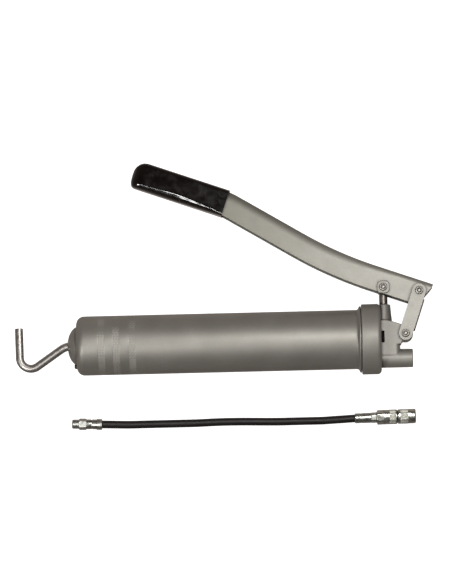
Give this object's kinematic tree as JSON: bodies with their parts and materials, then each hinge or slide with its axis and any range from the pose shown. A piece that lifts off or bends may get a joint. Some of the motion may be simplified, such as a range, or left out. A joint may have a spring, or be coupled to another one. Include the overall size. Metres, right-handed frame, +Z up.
{
  "type": "grease gun",
  "caption": "Lever-action grease gun with a screwed barrel, hooked follower rod, linked pump lever with a dipped grip, and a short flexible delivery hose with a jawed coupler beside it.",
  "frame": {"origin": "middle of the gun's own box, on the surface it lies on (the loose hose left out)", "axes": "+X from the hooked end towards the outlet, +Y from the barrel towards the raised lever, +Z up from the surface; the barrel is tipped by about a degree and rolled by about six, as the gun rests on its rim, barrel end and grip"},
  "size_m": [0.4034, 0.2594, 0.0678],
  "materials": {
    "body_paint": "satin metallic paint, warm grey",
    "lever_paint": "satin metallic paint, warm light grey",
    "grip_pvc": "dipped black vinyl, glossy",
    "rivet_steel": "zinc plated, dulled",
    "ground_steel": "ground, oiled",
    "rod_steel": "bright drawn, plated",
    "spring_steel": "drawn wire",
    "zinc_plate": "bright zinc plate",
    "jaw_steel": "hardened steel",
    "hose_rubber": "smooth black rubber cover",
    "seal_rubber": "matt nitrile rubber"
  },
  "bodies": {
    "head": {"head_casting": "body_paint", "plunger_seal": "seal_rubber", "outlet_valve_spring": "spring_steel", "outlet_valve_retainer": "zinc_plate"},
    "valve_ball": {"outlet_valve_ball": "ground_steel"},
    "gasket": {"barrel_gasket": "seal_rubber"},
    "barrel": {"barrel": "body_paint", "vent_plug": "seal_rubber", "follower_spring": "spring_steel"},
    "follower": {"follower_cup": "seal_rubber", "follower_front_plate": "zinc_plate", "follower_back_plate": "zinc_plate"},
    "rod": {"follower_rod": "rod_steel", "follower_nut": "zinc_plate"},
    "plunger": {"plunger": "ground_steel"},
    "lever": {"lever": "lever_paint", "grip": "grip_pvc", "plunger_pin": "rivet_steel", "pin_washers": "lever_paint"},
    "link": {"link": "lever_paint", "link_upper_pin": "rivet_steel", "link_lower_pin": "rivet_steel"},
    "hose": {"hose": "hose_rubber", "hose_nipple": "zinc_plate", "hose_rear_ferrule": "zinc_plate", "hose_front_ferrule": "zinc_plate", "hose_front_nipple": "zinc_plate", "coupler_body": "zinc_plate", "coupler_sleeve": "zinc_plate", "coupler_spring": "spring_steel"},
    "coupler_jaws": {"coupler_jaws": "jaw_steel", "coupler_seal": "seal_rubber"}
  },
  "joints": [
    {"name": "plunger_slide", "type": "slide", "parent": "head", "child": "plunger", "axis": [0.0021, 0.9941, -0.1088], "range_m": [-0.0076, 0.0156]},
    {"name": "lever_pivot", "type": "hinge", "parent": "plunger", "child": "lever", "pos_m": [0.15341, -0.02229, 0.02881], "axis": [0.0196, -0.1089, -0.9939], "range_deg": [-12, 25]},
    {"name": "link_swing", "type": "hinge", "parent": "lever", "child": "link", "pos_m": [0.18779, -0.02647, 0.02994], "axis": [0.0196, -0.1089, -0.9939], "range_deg": [-30, 14.5]},
    {"name": "gasket_slide", "type": "slide", "parent": "head", "child": "gasket", "axis": [-0.9998, 0, -0.0197], "range_m": [0, 0.006]},
    {"name": "barrel_turn", "type": "hinge", "parent": "gasket", "child": "barrel", "pos_m": [0.1381, -0.0712, 0.03386], "axis": [-0.9998, 0, -0.0197], "range_deg": [0, 1080]},
    {"name": "follower_pull", "type": "slide", "parent": "barrel", "child": "follower", "axis": [-0.9998, 0, -0.0197], "range_m": [0, 0.2], "stiffness_N_per_m": 600, "springref_m": -0.06, "deforming": ["follower_spring"]},
    {"name": "rod_turn", "type": "hinge", "parent": "follower", "child": "rod", "pos_m": [0.1301, -0.0712, 0.03371], "axis": [0.9998, 0, 0.0197], "continuous": true},
    {"name": "valve_ball_lift", "type": "slide", "parent": "head", "child": "valve_ball", "axis": [0.9998, 0, 0.0197], "range_m": [0, 0.0015], "stiffness_N_per_m": 150, "springref_m": -0.002, "deforming": ["outlet_valve_spring"]},
    {"name": "hose_lift", "type": "slide", "parent": "head", "child": "hose", "axis": [0, 0, 1], "range_m": [0, 0.1]},
    {"name": "jaw_slide", "type": "slide", "parent": "hose", "child": "coupler_jaws", "axis": [-0.9998, -0.0175, 0], "range_m": [0, 0.0015], "stiffness_N_per_m": 900, "springref_m": -0.002, "deforming": ["coupler_spring"]}
  ],
  "couplings": [
    {"joint": "plunger_slide", "follows": "lever_pivot", "m_per_rad": 0.0352},
    {"joint": "link_swing", "follows": "lever_pivot", "ratio": -1.19},
    {"joint": "gasket_slide", "follows": "barrel_turn", "m_per_rad": 0.000318}
  ]
}
